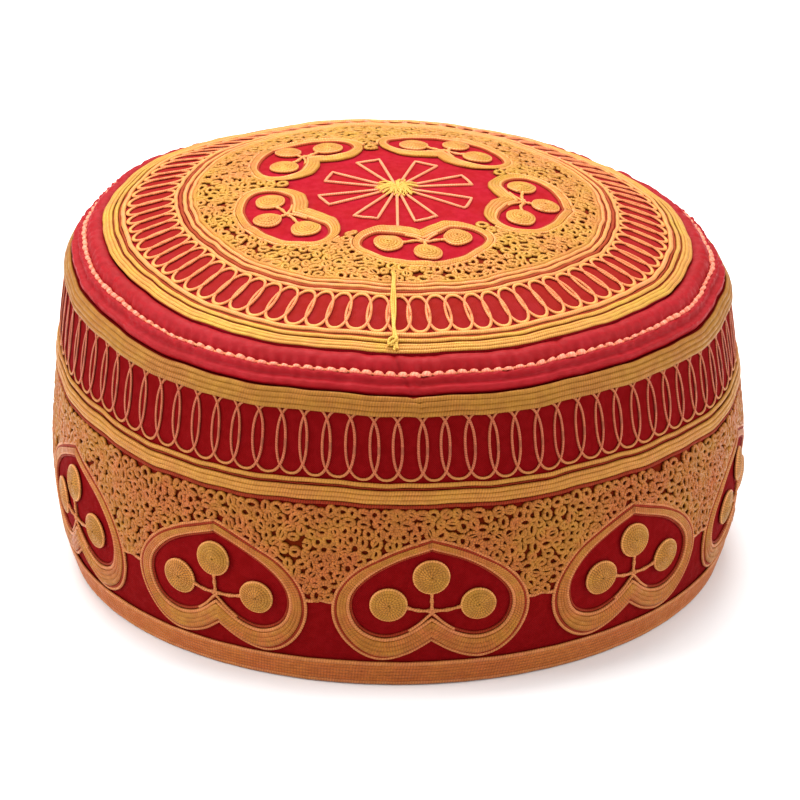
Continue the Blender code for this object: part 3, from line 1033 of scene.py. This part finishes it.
def make_welt():
    corners = [(along, proud) for _, along, proud in WELT_SECTION + WELT_SECTION[:1]]
    section = smooth_line(corners, WELT_SMOOTHING)
    rng = random.Random(SEEDS["creases"])
    creases = [[rng.uniform(low, high) for _, low, high in CREASE_RANGES] for _ in range(WELT_CREASES)]

    def pulled(turn, along, proud):
        """The seam dips at each stitch and creases a little between them."""
        outside = ease((proud / MM + 0.2) / 0.8)
        from_groove = along / MM - WELT_GROOVE
        change = -0.34 * hump(from_groove, 2.3) * np.cos(turn * SEAM_STITCHES)
        change = change - 0.75 * hump(turn_gap(turn, front_crease(along / MM)), 0.009)
        for middle, slant, width, depth in creases:
            change = change - depth * hump(turn_gap(turn, middle + slant * from_groove * 0.006), width)
        return proud + outside * change * MM

    roll = ring_piece("seam_roll", section[:-1] * MM, WELT_COLUMNS, "seam_red",
                      ["crown_welt"], relief=pulled)


def make_hem():
    """The folded strip's body, and the rows couched over it."""
    section = np.array([(along, proud) for _, along, proud in HEM_SECTION]) * MM
    fold = ring_piece("hem_fold", section, HEM_COLUMNS, "gold_hem", ["hem_binding"])
    places = [HEM_LOW + (HEM_HIGH - HEM_LOW) * row / (HEM_ROWS - 1) for row in range(HEM_ROWS)]
    paths = [ring_path(along, HEM_OVER, HEM_GIRTH, LINE_POINTS, 0.03, row)
             for row, along in enumerate(places)]
    rows = thread_piece("hem_rows", paths[1:-1], lay_round, "gold_hem", rise=0.65)
    # The lowest and highest rows take the lighter edge thread; on the highest row that lighter colour is a
    # painted highlight along the hem's top edge
    edges = thread_piece("hem_edges", [paths[0], paths[-1]], lay_round, "edge_side", rise=0.65)


# Couched rows and lines
def ring_path(along, over, girth, points, wobble=0.05, salt=0):
    """A line once round the cap in flat mm, joined at the back, with a hand's small wobble."""
    turn = np.linspace(-math.pi, math.pi, points) + 0.02 * (salt % 5)
    shake = sum(np.sin(turn * waves + salt + waves) for waves in (23, 41, 67)) * wobble
    dip = FRONT_DIP * hump(turn - front_crease(along), 0.011) * math.exp(-(((along - 92.0) / 9.0) ** 2))
    line = np.column_stack((turn * BELLY_RADIUS / MM, along + shake - dip))
    return flat_path(line, over - dip, girth)


def make_bands():
    for number, (name, node, low, high, rows, over, finish) in enumerate(BANDS):
        pitch = (high - low) / rows
        paths = [
            ring_path(low + pitch * (row + 0.5), over * (1.0 if 0 < row < rows - 1 else 0.8),
                      pitch * ROW_OVERLAP, BAND_POINTS, 0.035, number * 3 + row)
            for row in range(rows)
        ]
        if name == "rim_rows":
            paths.append(ring_path(*RIM_LAST_ROW, BAND_POINTS, 0.04, 9))
        thread_piece(name, paths, lay_round, finish, nodes=[node], rise=0.7)


def make_lines():
    for number, (name, along, girth, finish) in enumerate(LINES):
        path = ring_path(along, girth * 0.35, girth, LINE_POINTS, 0.06, number)
        thread_piece(name.replace(" ", "_") + "_line", [path], lay_round, finish, rise=0.8)


# Hearts
def spaced(line, count):
    """The line with its points at even steps."""
    run = run_along(line)
    places = np.linspace(0.0, run[-1], count)
    return np.column_stack([np.interp(places, run, side) for side in line.T])


def half_heart(outline, count, steps=6):
    """The right half of a heart's line, in evenly spaced points."""
    return spaced(smooth_line([(across, up) for _, across, up in outline], steps), count)


def closed_line(half):
    """The whole heart's line from its right half."""
    return np.vstack((half, half[-2:0:-1] * (-1.0, 1.0)))


def offset_half(outline, gap):
    """The right half of a heart outline, moved outwards by the gap."""
    right = half_heart(outline, 90, 10)
    way = np.gradient(right, axis=0)
    way /= np.hypot(*way.T)[:, None]
    moved = right + np.column_stack((-way[:, 1], way[:, 0])) * gap
    moved[0] = (0.0, right[0, 1] + gap * 1.15)
    moved[-1] = (0.0, right[-1, 1] - gap * 1.3)
    moved[:, 0] = np.maximum(moved[:, 0], 0.0)
    return moved


def border_rows(heart, rows, over, thickest):
    """Closed rows that share out a heart's border, from the inset to its inner outline."""
    outer, inner = (half_heart(heart[side], heart["points"]) for side in ("outer", "inner"))
    inset = heart["insets"][2]
    width = np.hypot(*(outer - inner).T)
    first = outer + (inner - outer) * (inset / width)[:, None]
    girth = closed_line(np.column_stack((width, width)))[:, 1] - inset
    return [flat_path(closed_line(first + (inner - first) * share), over,
                      np.clip(girth * part * 1.25, THINNEST_ROW, thickest), True)
            for _, share, part in rows]


def leaf_filling(across, up, radius, over):
    """A domed spiral from the leaf's edge to its middle."""
    outer = radius - LEAF_RIM / 2 - LEAF_THREAD / 2
    turns = 1.0 + outer / (LEAF_THREAD * 0.7)
    share = np.linspace(0.0, 1.0, int(turns * 15))
    angle = share * turns * TURN
    reach = outer * np.minimum(1.0, (1.0 - share) * turns / (turns - 1.0)) + 0.12
    dome = over + 0.1 + 0.5 * (1.0 - (reach / radius) ** 2)
    line = np.column_stack((across + reach * np.cos(angle), up + reach * np.sin(angle)))
    return flat_path(line, dome, LEAF_THREAD)


def leaf_rim(across, up, radius, over):
    """The ring round a leaf."""
    outer = radius - LEAF_RIM / 2
    angle = np.arange(30) / 30 * TURN
    ring = np.column_stack((across + outer * np.cos(angle), up + outer * np.sin(angle)))
    return flat_path(ring, over + 0.1, LEAF_RIM, True)


def leaf_stems(leaves, joint, over):
    """The stem of each leaf, which runs to the joint."""
    paths = []
    share = np.linspace(0.0, 1.0, 9)
    for _, across, up, radius in leaves:
        facing = math.atan2(joint[1] - up, joint[0] - across)
        outer = radius - LEAF_RIM / 2
        start = np.array((joint[0], joint[1], over * 0.8))
        end = np.array((across + outer * math.cos(facing), up + outer * math.sin(facing), over))
        stem = start + (end - start) * share[:, None]
        stem[:, 1] -= 0.5 * np.sin(share * math.pi) * (abs(across) > 1.0)
        paths.append((stem, False, STEM_THREAD * (1.0 + 0.22 * np.sin(share * 15.0))))
    return paths


def crossed_threads(inner, joint, over):
    """Where the inner lines of the two lobes cross and run on to the joint."""
    _, lobe, low = inner[-2]
    cleft = inner[-1][2]
    paths = []
    for side in (-1.0, 1.0):
        line = smooth_line([
            (-0.95 * lobe * side, low + 0.5), (-0.48 * lobe * side, (low + cleft) / 2 + 0.5),
            (-0.8 * side, cleft + 0.5), (0.9 * side, joint[1])], 5)
        paths.append(flat_path(line, over + 0.12 * np.linspace(0.2, 1.0, len(line)), CROSSED_THREAD))
    return paths


def on_field(kind, number, paths):
    """Moves paths from one heart's own drawing to the drawing of the whole band or crown."""
    return [(np.column_stack((PLACES[kind](number, line[:, :2]), line[:, 2])), closed, girth)
            for line, closed, girth in paths]


def make_hearts(kind):
    heart = HEARTS[kind]
    count, joint, over = heart["count"], heart["joint"], heart["over"]
    thin = heart["insets"][0]
    leaves = [leaf[1:] for leaf in heart["leaves"]]
    fillings, rims, edges = [], [], []
    for number in range(count):
        node = f"{kind}_heart_{number + 1:02d}" if count > 9 else f"{kind}_heart_{number + 1}"
        rows = border_rows(heart, HEART_ROWS, over + 0.05, THICKEST_ROW)
        thread_piece(node + "_thread", rows, lay_heart(kind, number), heart["border"],
                     nodes=[node], rise=0.7)
        drawn = border_rows(heart, HEART_INNER_ROW, over, THICKEST_INNER_ROW)
        drawn += leaf_stems(heart["leaves"], joint, over) + crossed_threads(heart["inner"], joint, over)
        if thin:
            line = closed_line(offset_half(heart["outer"], -thin))
            drawn.append(flat_path(line, over * 0.8, LEAF_RIM, True))
        edges += on_field(kind, number, drawn)
        fillings += on_field(kind, number, [leaf_filling(*leaf, over) for leaf in leaves])
        rims += on_field(kind, number, [leaf_rim(*leaf, over) for leaf in leaves])
    thread_piece(f"{kind}_leaf_rims", rims, LAYS[kind], heart["rim"], rise=0.85)
    thread_piece(f"{kind}_heart_edges", edges, LAYS[kind], heart["edge"], rise=0.85)
    thread_piece(f"{kind}_heart_leaves", fillings, LAYS[kind], heart["leaf"], rise=0.7)


# Loops
def make_loops():
    for number, (name, count, low, high, width, girth, first, ovalness, finish) in enumerate(LOOP_RINGS):
        middle = (low + high) / 2 * MM
        stretch = BELLY_RADIUS / cloth_section(middle, 0.0)[0]
        settings = {
            "Count": count, "Pitch": TURN * BELLY_RADIUS / count, "Width": width * MM * stretch,
            "Height": (high - low) * MM, "Points": LOOP_POINTS, "Lean": LOOP_LEAN, "Ovalness": ovalness,
            "Variation": LOOP_VARIATION, "Layer": LOOP_LAYER, "Seed": SEEDS["loops"] + number,
            "Girth": girth * MM, "Rise": LOOP_RISE, "Sides": 5, "Material": FINISH[finish],
        }
        mesh = grow(name, bpy.data.meshes.new(name), TREES["loops"], settings)

        def lay(flat, place=(math.radians(first) * BELLY_RADIUS, middle, girth * 0.3 * MM)):
            return lay_round(flat + place)
        dress(name, mesh, lay)


# Filling of small curls
def heart_distance(points, outline):
    """How far places are from a heart's outline; less than nothing inside it."""
    gap = points[:, None, :] - outline[None, :, :]
    distance = np.hypot(gap[..., 0], gap[..., 1]).min(axis=1)
    x, y = outline.T
    x_next, y_next = np.roll(x, -1), np.roll(y, -1)
    level = points[:, 1:2]
    crossing = (y[None] > level) != (y_next[None] > level)
    rise = np.where(y_next == y, 1e-9, y_next - y)
    cross_x = (x_next - x) * (level - y) / rise + x
    inside = np.sum(crossing & (points[:, 0:1] < cross_x), axis=1) % 2 == 1
    return np.where(inside, -distance, distance)


def room_in_field(kind, local, far, field):
    """How far places lie inside a field, from their places on the nearest heart and across the field."""
    gap = heart_distance(local, closed_line(half_heart(HEARTS[kind]["outer"], 60))) - FIELD_GAPS[kind]
    return np.minimum(gap, np.minimum(far - field[0], field[1] - far))


def side_room(points):
    """How far flat places round the cap lie inside the side's field."""
    pitch = TURN * BELLY_RADIUS / MM / HEARTS["side"]["count"]
    first = heart_turn("side", 0) * BELLY_RADIUS / MM
    local = points.copy()
    local[:, 0] = (local[:, 0] - first + pitch / 2) % pitch - pitch / 2
    local[:, 1] -= HEARTS["side"]["cleft"]
    return room_in_field("side", local, points[:, 1], SIDE_FIELD)


def crown_room(points):
    """How far plan places lie inside the crown's field."""
    azimuth = np.arctan2(points[:, 0], -points[:, 1])
    pitch = TURN / HEARTS["crown"]["count"]
    first = heart_turn("crown", 0)
    across, outwards = crown_axes(first + np.round((azimuth - first) / pitch) * pitch)
    up = (points * outwards).sum(1) - HEARTS["crown"]["cleft"]
    local = np.column_stack(((points * across).sum(1), up))
    return room_in_field("crown", local, np.hypot(*points.T), CROWN_FIELD)


def scatter(kind, room, low, high, tries, rng):
    """Curl middles at random, none too near another; those along the edges go first."""
    spacing, radius, _, _ = CURLS[kind]
    candidates = rng.uniform(low, high, (tries, 2))
    space = room(candidates)
    wanted = radius + 0.1
    candidates, space = candidates[space > wanted], space[space > wanted]
    edge_first = np.where(space < wanted + 0.3, 0, 1)
    candidates = candidates[np.argsort(edge_first, kind="stable")]
    kept = add_spaced(np.empty((0, 2)), candidates, spacing * CLOSEST_START)
    for number in range(SETTLING_ROUNDS):
        kept = push_apart(kept, room, wanted, spacing)
        if number % 4 == 3:
            kept = add_spaced(kept, candidates, spacing * CLOSEST_LATER)
    return kept


def add_spaced(kept, candidates, spacing):
    """Adds those candidates that lie far enough from all that are kept."""
    kept = list(kept)
    cells = {}
    for index, place in enumerate(kept):
        cells.setdefault((int(place[0] // spacing), int(place[1] // spacing)), []).append(index)
    for place in candidates:
        cell = (int(place[0] // spacing), int(place[1] // spacing))
        near = [kept[index] for column in (-1, 0, 1) for row in (-1, 0, 1)
                for index in cells.get((cell[0] + column, cell[1] + row), ())]
        if all((place[0] - other[0]) ** 2 + (place[1] - other[1]) ** 2 > spacing ** 2 for other in near):
            cells.setdefault(cell, []).append(len(kept))
            kept.append(place)
    return np.array(kept)


def push_apart(places, room, wanted, spacing):
    """Each place moves a little away from those nearer than the spacing, and stays in the field."""
    gap = places[:, None, :] - places[None, :, :]
    distance = np.hypot(gap[..., 0], gap[..., 1])
    np.fill_diagonal(distance, np.inf)
    push = np.clip(spacing * 1.12 - distance, 0.0, None) / np.maximum(distance, 0.01) * 0.3
    moved = places + (gap * push[..., None]).sum(axis=1)
    return np.where((room(moved) > wanted)[:, None], moved, places)


def visiting_orders(places):
    """Walks from each place to the nearest fresh one; a long run starts a new thread."""
    fresh = np.ones(len(places), bool)
    walks = []
    here = 0
    walk = [0]
    fresh[0] = False
    while fresh.any():
        reach = np.hypot(*(places - places[here]).T)
        reach[~fresh] = np.inf
        after = int(np.argmin(reach))
        if reach[after] > LONGEST_RUN:
            walks.append(walk)
            walk = []
        walk.append(after)
        fresh[after] = False
        here = after
    return walks + [walk]


def curl_paths(kind, places, rng):
    """A thread that makes one small round turn at each place that it visits."""
    def vary(what):
        return rng.uniform(*CURL_VARIATION[what])

    paths = []
    _, usual, thread, _ = CURLS[kind]
    share = np.arange(CURL_POINTS) / (CURL_POINTS - 1.5)
    for walk in visiting_orders(places):
        visits = places[walk]
        line = []
        for index, place in enumerate(visits):
            ahead = visits[min(index + 1, len(visits) - 1)] - visits[max(index - 1, 0)]
            start = math.atan2(ahead[1], ahead[0]) + math.pi + vary("start")
            radius = usual * vary("radius")
            squash = vary("ovalness")
            turn = start + rng.choice((-1.0, 1.0)) * TURN * vary("turns") * share
            height = CURL_LOW + CURL_CLIMB * share + vary("height")
            across = place[0] + radius * squash * np.cos(turn)
            up = place[1] + radius / squash * np.sin(turn)
            line.append(np.column_stack((across, up, height)))
        paths.append((np.vstack(line), False, thread))
    return paths


def filling_piece(name, kind, places, rng):
    thread_piece(name, curl_paths(kind, places, rng), LAYS[kind], "gold_" + kind,
                 sides=5, rise=CURLS[kind][3])


def make_side_filling():
    round_mm = TURN * BELLY_RADIUS / MM
    for number, (side, low) in enumerate((("right", 0.0), ("left", -round_mm / 2))):
        rng = np.random.default_rng(SEEDS["side"] + number)
        high = low + round_mm / 2
        places = scatter("side", side_room, (low, SIDE_FIELD[0]), (high, SIDE_FIELD[1]), SIDE_TRIES, rng)
        filling_piece(f"side_filling_{side}", "side", places, rng)
    heart = HEARTS["side"]
    pitch = round_mm / heart["count"]
    share = np.linspace(0.0, 1.0, 9)
    bridges = []
    for number in range(heart["count"]):
        middle = heart_turn("side", number + 0.5) / TURN * round_mm
        across = middle + (share - 0.5) * (pitch - HEARTS_ACROSS)
        along = SIDE_FIELD[0] - 0.3 * np.sin(share * 9.0)
        bridges.append(flat_path(np.column_stack((across, along)), EDGE_OVER, BRIDGE_THREAD))
    thread_piece("side_filling_edge", bridges, lay_round, "edge_side")
    # Dark lines of painted shade along each heart: one inside the outer outline, one inside the inner
    # outline
    dark = (-heart["insets"][1], SIDE_SHADOW_LINE_GIRTH)
    outlines = []
    for number in range(heart["count"]):
        for side, (gap, girth) in (("outer", dark), ("inner", SIDE_INNER_SHADOW_LINE)):
            line = closed_line(offset_half(heart[side], gap))
            outlines.append(flat_path(side_on_band(number, line), 0.3, girth, True))
    thread_piece("side_heart_shadow_lines", outlines, lay_round, "dark_thread")


def make_crown_filling():
    inner, outer = CROWN_FIELD
    rng = np.random.default_rng(SEEDS["crown"])
    places = scatter("crown", crown_room, (-outer, -outer), (outer, outer), CROWN_TRIES, rng)
    filling_piece("crown_filling", "crown", places, rng)
    heart = HEARTS["crown"]
    edge = offset_half(heart["outer"], FIELD_GAPS["crown"])
    edge = edge[np.cumsum(edge[:, 1] < 0.0) == 0]
    edge = np.vstack((edge[::-1] * (-1.0, 1.0), edge[1:]))
    # A dark line of painted shade just inside each heart's inner outline
    gap, girth = CROWN_INNER_SHADOW_LINE
    inner_shadow_line = closed_line(offset_half(heart["inner"], gap))
    edges, outlines = [], []
    for number in range(heart["count"]):
        plan = crown_on_plan(number, edge)
        edges.append(flat_path(plan[np.hypot(*plan.T) > inner], EDGE_OVER, FIELD_EDGE_THREAD))
        outlines.append(flat_path(crown_on_plan(number, inner_shadow_line), 0.25, girth, True))
    thread_piece("crown_filling_edges", edges, lay_crown, "edge_crown")
    thread_piece("crown_heart_shadow_lines", outlines, lay_crown, "brown_thread")


# Star
def spoke(degrees, reach, start=1.0):
    angle = math.radians(degrees)
    return np.linspace(start, reach, 12)[:, None] * np.array((math.sin(angle), -math.cos(angle)))


def make_star():
    rng = random.Random(SEEDS["star"])
    paths = []
    for petal in range(STAR_PETALS):
        middle = STAR_FIRST + petal * 360.0 / STAR_PETALS + rng.uniform(-1.0, 1.0)
        reach = STAR_RADIUS + rng.uniform(-0.6, 0.4)
        left = spoke(middle - STAR_PETAL_HALF, reach)
        right = spoke(middle + STAR_PETAL_HALF, reach * rng.uniform(0.97, 1.01))
        tip = left[-1] + (right[-1] - left[-1]) * np.linspace(0.0, 1.0, 6)[1:-1, None]
        paths.append(flat_path(np.vstack((left, tip, right[::-1])), STAR_OVER, STAR_THREAD))
    paths.append(flat_path(spoke(0.5, HEARTS["crown"]["cleft"] - 2.5), STAR_OVER, STAR_THREAD * 1.1))
    thread_piece("star_threads", paths, lay_crown, "star_pink")
    hub = []
    for _ in range(HUB_THREADS):
        angle = rng.uniform(0.0, TURN)
        reach = HUB_RADIUS * (0.55 + 0.75 * rng.random())
        bend = rng.uniform(-0.7, 0.7)
        share = np.linspace(0.0, 1.0, 7)
        turn = angle + bend * share
        far = 0.2 + reach * share
        over = 0.5 + 1.1 * np.sin(share * math.pi * 0.9) * rng.uniform(0.5, 1.0) * (1.0 - 0.5 * share)
        line = np.column_stack((far * np.sin(turn), -far * np.cos(turn)))
        hub.append(flat_path(line, over, rng.uniform(0.4, 0.62)))
    thread_piece("star_hub", hub, lay_crown, "stray_yellow", sides=5)


# Stitches and stray threads
def make_stitches():
    """The running stitch that holds the padded seam."""
    paths = []
    rng = random.Random(SEEDS["stitches"])
    pitch = TURN * BELLY_RADIUS / MM / SEAM_STITCHES
    share = np.linspace(-0.5, 0.5, 7)
    for number in range(SEAM_STITCHES):
        middle = (number + 0.5) * pitch
        length = pitch * rng.uniform(0.5, 0.68)
        slant = rng.uniform(-0.2, 0.2)
        along = SEAM_LINE + slant * share * 2.0 + rng.uniform(-0.15, 0.15)
        over = 0.95 - 0.9 * (2.0 * share) ** 4
        girth = (1.35 + 0.2 * math.sin(number * 0.45 + 1.0)) * rng.uniform(0.85, 1.15)
        paths.append(flat_path(np.column_stack((middle + share * length, along)), over, girth))
    under = ring_path(SEAM_LINE, 0.3, 0.7, 360, 0.08, 2)
    thread_piece("seam_thread", [under], lay_round, "star_pink")
    thread_piece("seam_stitches", paths, lay_round, "stitch_pink")


def make_stray():
    """The threads that stray down the front, and the knot that they end in."""
    lines = []
    for stray in STRAYS:
        line = smooth_line(stray, 6)
        lines.append(flat_path(line, 1.35 + 0.3 * np.sin(np.linspace(0.0, 9.0, len(line))), STRAY_THREAD))
    turn = np.linspace(0.0, KNOT_TURNS * TURN, 44)
    knot = np.column_stack((-1.3 + 1.5 * np.cos(turn), 105.6 + 1.2 * np.sin(turn * 1.1)))
    lines.append(flat_path(knot, 1.7 + 0.5 * np.sin(turn * 0.7), KNOT_THREAD))
    thread_piece("front_thread", lines, lay_round, "stray_yellow")


# Stage and camera
def make_stage():
    floor = bpy.data.meshes.new("floor")
    corners = [(across * FLOOR_HALF, back * FLOOR_HALF, 0.0)
               for across, back in ((-1, -1), (1, -1), (1, 1), (-1, 1))]
    floor.from_pydata(corners, [], [(0, 1, 2, 3)])
    ground = bpy.data.objects.new("floor", floor)
    bpy.context.scene.collection.objects.link(ground)
    paper = bpy.data.materials.new("paper")
    paper.use_nodes = True
    shader = paper.node_tree.nodes["Principled BSDF"]
    shader.inputs["Base Color"].default_value = (FLOOR_TONE, FLOOR_TONE, FLOOR_TONE, 1.0)
    shader.inputs["Roughness"].default_value = 0.9
    floor.materials.append(paper)
    for name, place, size, power in LIGHTS:
        lamp = bpy.data.lights.new(name, "AREA")
        lamp.size = size
        lamp.energy = power
        item = bpy.data.objects.new(name, lamp)
        item.location = place
        aim = Vector((0.0, 0.0, LIT_HEIGHT)) - Vector(place)
        item.rotation_euler = aim.to_track_quat("-Z", "Y").to_euler()
        bpy.context.scene.collection.objects.link(item)
    world = bpy.data.worlds.new("studio")
    world.use_nodes = True
    world.node_tree.nodes["Background"].inputs["Color"].default_value = (1.0, 1.0, 1.0, 1.0)
    world.node_tree.nodes["Background"].inputs["Strength"].default_value = DAYLIGHT
    bpy.context.scene.world = world
    bpy.context.scene.view_settings.view_transform = "Standard"


def make_camera():
    lens = bpy.data.cameras.new("camera")
    lens.sensor_width = SENSOR
    focal_pixels = CAMERA_DISTANCE / METRES_PER_PIXEL
    lens.lens = focal_pixels / FRAME_PIXELS * SENSOR
    lens.shift_x = (FRAME_MIDDLE[0] - AIM_PIXEL[0]) / FRAME_PIXELS
    lens.shift_y = (AIM_PIXEL[1] - FRAME_MIDDLE[1]) / FRAME_PIXELS
    lens.clip_start = 0.05
    camera = bpy.data.objects.new("camera", lens)
    tilt = math.radians(CAMERA_ELEVATION)
    back = Vector((0.0, -math.cos(tilt), math.sin(tilt)))
    camera.location = Vector((0.0, 0.0, AIM_HEIGHT)) + back * CAMERA_DISTANCE
    camera.rotation_euler = (-back).to_track_quat("-Z", "Y").to_euler()
    bpy.context.scene.collection.objects.link(camera)
    bpy.context.scene.camera = camera


make_camera()
make_stage()
make_walls()
make_welt()
make_hem()
make_bands()
make_lines()
make_hearts("side")
make_hearts("crown")
make_loops()
make_side_filling()
make_crown_filling()
make_star()
make_stitches()
make_stray()
